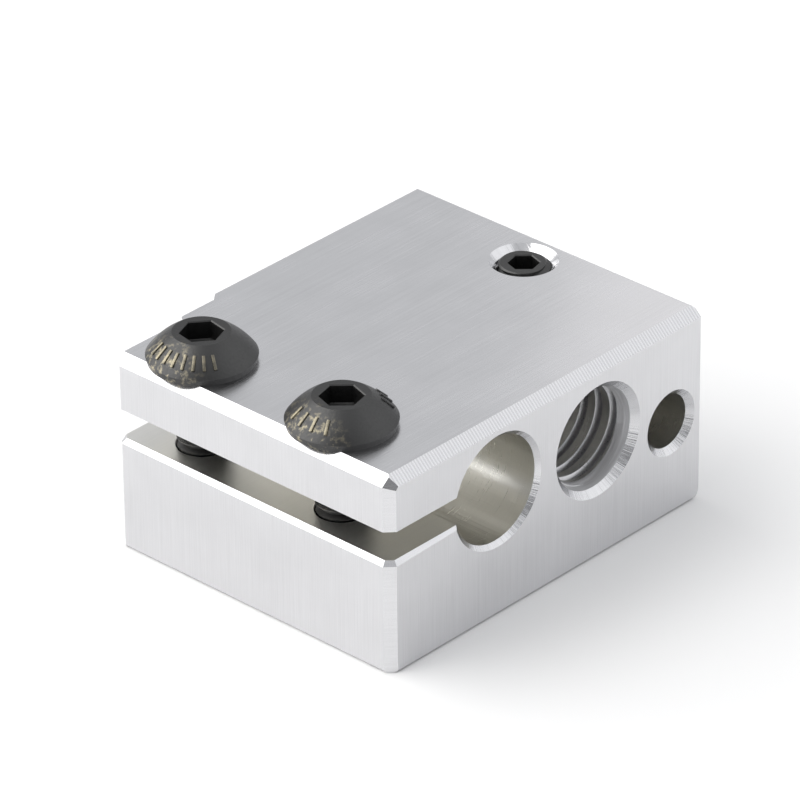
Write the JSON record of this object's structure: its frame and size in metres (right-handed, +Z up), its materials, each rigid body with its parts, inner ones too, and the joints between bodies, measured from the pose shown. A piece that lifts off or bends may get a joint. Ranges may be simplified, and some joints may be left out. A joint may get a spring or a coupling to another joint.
{
  "type": "hotend heater block",
  "caption": "Clamp-type aluminium heater block of a 3-D printer hotend, with a split cartridge bore, nozzle thread, sensor bore and hex-socket screws.",
  "frame": {"origin": "centre of the block's bottom face", "axes": "+X along the row of bores from the clamp end, +Y into the bores from the nozzle face, +Z up towards the screw heads"},
  "size_m": [0.0242, 0.02, 0.0132],
  "materials": {
    "milled_aluminium": "fine milled, bright chamfers",
    "black_oxide_steel": "black oxide, satin"
  },
  "bodies": {
    "block": {"heater_block": "milled_aluminium"},
    "front_clamp_screw": {"clamp_screw_front": "black_oxide_steel"},
    "rear_clamp_screw": {"clamp_screw_rear": "black_oxide_steel"},
    "set_screw": {"sensor_set_screw": "black_oxide_steel"}
  },
  "joints": [
    {"name": "front_clamp_screw_travel", "type": "slide", "parent": "block", "child": "front_clamp_screw", "axis": [0, 0, 1], "range_m": [0, 0.0105]},
    {"name": "rear_clamp_screw_travel", "type": "slide", "parent": "block", "child": "rear_clamp_screw", "axis": [0, 0, 1], "range_m": [0, 0.0105]},
    {"name": "set_screw_travel", "type": "slide", "parent": "block", "child": "set_screw", "axis": [0, 0, 1], "range_m": [-0.0018, 0.0045]}
  ]
}
